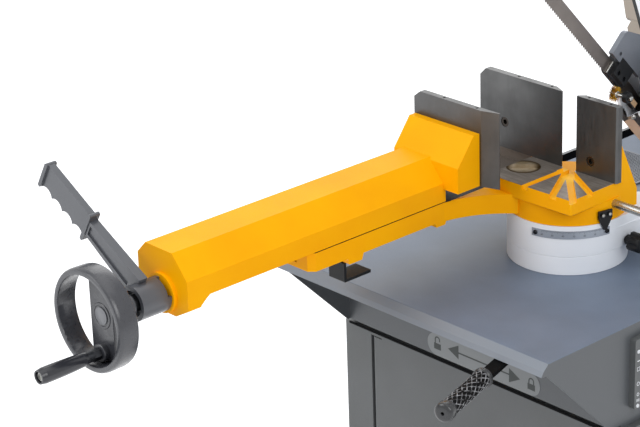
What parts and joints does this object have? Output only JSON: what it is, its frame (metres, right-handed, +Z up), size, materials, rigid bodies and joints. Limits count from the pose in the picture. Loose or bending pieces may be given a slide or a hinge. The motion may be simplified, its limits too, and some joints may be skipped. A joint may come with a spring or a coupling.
{
  "type": "metal cutting band saw",
  "caption": "Swivel-head metal cutting band saw on a sheet metal stand, with a chip pan, a mitre turret, a quick-action vise and a canted saw bow that pulls down.",
  "frame": {"origin": "centre of the four floor bolts, on the floor", "axes": "+X along the workpiece to the operator's right, +Y from the operator to the rear, +Z up"},
  "size_m": [0.8303, 1.6194, 1.8456],
  "materials": {
    "yellow_paint": "smooth yellow enamel",
    "dark_sheet": "dark grey powder coat",
    "pan_sheet": "blue-grey powder coat",
    "white_paint": "white enamel",
    "jaw_steel": "dark ground steel",
    "bright_steel": "turned steel",
    "dark_cast": "dark grey casting",
    "black_plastic": "moulded black",
    "grey_plate": "grey plate",
    "band_steel": "rolled band steel",
    "brass": "brass",
    "red_plastic": "red cap",
    "green_plastic": "green cap",
    "scale_plate": "printed scale strip",
    "motor_paint": "grey motor paint"
  },
  "bodies": {
    "base": {"stand_cabinet": "dark_sheet", "chip_pan": "pan_sheet", "chip_screen": "grey_plate", "turret_ring": "white_paint", "turret_post": "bright_steel", "saw_table": "yellow_paint", "fixed_jaw_left": "jaw_steel", "fixed_jaw_right": "jaw_steel", "fixed_jaw_bolts": "dark_cast", "angle_pointer": "black_plastic", "bed_bracket": "black_plastic", "vise_nut": "brass", "length_stop_rod": "bright_steel", "control_panel": "dark_sheet"},
    "door": {"cabinet_door": "dark_sheet"},
    "swivel": {"swivel_arm": "white_paint", "mitre_scale": "scale_plate"},
    "index": {"index_knob": "black_plastic"},
    "bow": {"bow_frame": "white_paint", "hinge_side": "white_paint", "pivot_shaft": "bright_steel", "spring_drum": "dark_cast", "idler_cover": "white_paint", "saw_band": "band_steel", "gearbox": "motor_paint", "motor": "motor_paint", "fan_cover": "black_plastic", "rear_guide_block": "black_plastic", "rear_guide_bracket": "grey_plate", "brush_bracket": "grey_plate", "bow_handle": "dark_cast", "handle_grip": "black_plastic"},
    "drive": {"drive_wheel": "dark_cast", "drive_shaft": "bright_steel"},
    "carriage": {"idler_carriage": "dark_cast", "idler_axle": "bright_steel"},
    "idler": {"idler_wheel": "dark_cast"},
    "tension": {"tension_screw": "bright_steel", "tension_wheel": "black_plastic"},
    "front_guide": {"front_guide_block": "black_plastic", "front_guide_arm": "grey_plate"},
    "guide_knob": {"guide_clamp_knob": "black_plastic"},
    "brush": {"chip_brush": "brass"},
    "trigger_lever": {"trigger": "black_plastic"},
    "slide": {"vise_slide": "yellow_paint", "moving_jaw": "jaw_steel", "moving_jaw_bolts": "dark_cast"},
    "screw": {"vise_screw": "bright_steel", "handwheel": "dark_cast", "crank_axle": "bright_steel"},
    "crank": {"crank_grip": "dark_cast"},
    "clamp": {"clamp_lever": "dark_cast"},
    "lock": {"lock_lever": "dark_cast", "lock_grip": "black_plastic"},
    "stop": {"length_stop": "dark_cast"},
    "stop_screw": {"stop_knob": "black_plastic"},
    "switch": {"main_switch": "black_plastic"},
    "start": {"start_button": "green_plastic"},
    "halt": {"emergency_stop": "red_plastic"}
  },
  "joints": [
    {"name": "swivel_turn", "type": "hinge", "parent": "base", "child": "swivel", "pos_m": [0.034, -0.102, 0.84], "axis": [0, 0, 1], "range_deg": [0, 60]},
    {"name": "bow_pivot", "type": "hinge", "parent": "swivel", "child": "bow", "pos_m": [0.252, 0.16, 0.99], "axis": [1, 0, 0], "range_deg": [0, 46.4], "stiffness_Nm_per_rad": 140, "springref_deg": -51.57},
    {"name": "index_pull", "type": "slide", "parent": "swivel", "child": "index", "axis": [1, 0, 0], "range_m": [0, 0.008], "stiffness_N_per_m": 900, "springref_m": -0.003},
    {"name": "drive_spin", "type": "hinge", "parent": "bow", "child": "drive", "pos_m": [0.13897, 0.2332, 0.9899], "axis": [0.7071, -0.5171, -0.4822], "continuous": true},
    {"name": "carriage_slide", "type": "slide", "parent": "bow", "child": "carriage", "axis": [0, 0.682, -0.7314], "range_m": [0, 0.004]},
    {"name": "idler_spin", "type": "hinge", "parent": "carriage", "child": "idler", "pos_m": [0.13897, -0.28716, 1.54792], "axis": [0.7071, -0.5171, -0.4822], "continuous": true},
    {"name": "tension_turn", "type": "hinge", "parent": "bow", "child": "tension", "pos_m": [0.08523, -0.37675, 1.7228], "axis": [0, 0.682, -0.7314], "range_deg": [0, 720]},
    {"name": "guide_slide", "type": "slide", "parent": "bow", "child": "front_guide", "axis": [0, 0.682, -0.7314], "range_m": [0, 0.11]},
    {"name": "guide_knob_turn", "type": "hinge", "parent": "front_guide", "child": "guide_knob", "pos_m": [0.133, -0.03931, 1.50148], "axis": [0.7071, -0.5171, -0.4822], "range_deg": [0, 180]},
    {"name": "brush_spin", "type": "hinge", "parent": "bow", "child": "brush", "pos_m": [0.054, 0.00816, 1.03846], "axis": [1, 0, 0], "continuous": true},
    {"name": "trigger_pull", "type": "hinge", "parent": "bow", "child": "trigger_lever", "pos_m": [0.18108, -0.376, 1.7153], "axis": [-0.7071, 0.5171, 0.4822], "range_deg": [0, 6], "stiffness_Nm_per_rad": 1.2, "springref_deg": -5.73},
    {"name": "vise_travel", "type": "slide", "parent": "base", "child": "slide", "axis": [0, 1, 0], "range_m": [-0.09, 0.145]},
    {"name": "screw_turn", "type": "hinge", "parent": "slide", "child": "screw", "pos_m": [-0.113, -1.002, 0.9075], "axis": [0, 1, 0], "range_deg": [-3300, 5300]},
    {"name": "crank_spin", "type": "hinge", "parent": "screw", "child": "crank", "pos_m": [-0.113, -1.062, 0.8475], "axis": [0, 1, 0], "continuous": true},
    {"name": "clamp_swing", "type": "hinge", "parent": "slide", "child": "clamp", "pos_m": [-0.113, -0.912, 0.9075], "axis": [0, 1, 0], "range_deg": [0, 75]},
    {"name": "lock_swing", "type": "hinge", "parent": "base", "child": "lock", "pos_m": [0.034, -0.102, 0.76], "axis": [0, 0, 1], "range_deg": [-58, 0]},
    {"name": "stop_slide", "type": "slide", "parent": "base", "child": "stop", "axis": [1, 0, 0], "range_m": [-0.18, 0.07]},
    {"name": "stop_knob_turn", "type": "hinge", "parent": "stop", "child": "stop_screw", "pos_m": [0.38, -0.1, 0.87], "axis": [0, 0, 1], "range_deg": [0, 180]},
    {"name": "door_swing", "type": "hinge", "parent": "base", "child": "door", "pos_m": [-0.249, -0.289, 0.3], "axis": [0, 0, 1], "range_deg": [-95, 0]},
    {"name": "switch_turn", "type": "hinge", "parent": "base", "child": "switch", "pos_m": [0.319, -0.074, 0.72], "axis": [1, 0, 0], "range_deg": [-90, 0]},
    {"name": "start_press", "type": "slide", "parent": "base", "child": "start", "axis": [-1, 0, 0], "range_m": [0, 0.004], "stiffness_N_per_m": 800, "springref_m": -0.002},
    {"name": "halt_press", "type": "slide", "parent": "base", "child": "halt", "axis": [-1, 0, 0], "range_m": [0, 0.004], "stiffness_N_per_m": 900, "springref_m": -0.002}
  ],
  "couplings": [
    {"joint": "idler_spin", "follows": "drive_spin", "ratio": 1},
    {"joint": "brush_spin", "follows": "drive_spin", "ratio": 3},
    {"joint": "screw_turn", "follows": "vise_travel", "rad_per_m": 628.32},
    {"joint": "tension_turn", "follows": "carriage_slide", "rad_per_m": 3141.6}
  ]
}
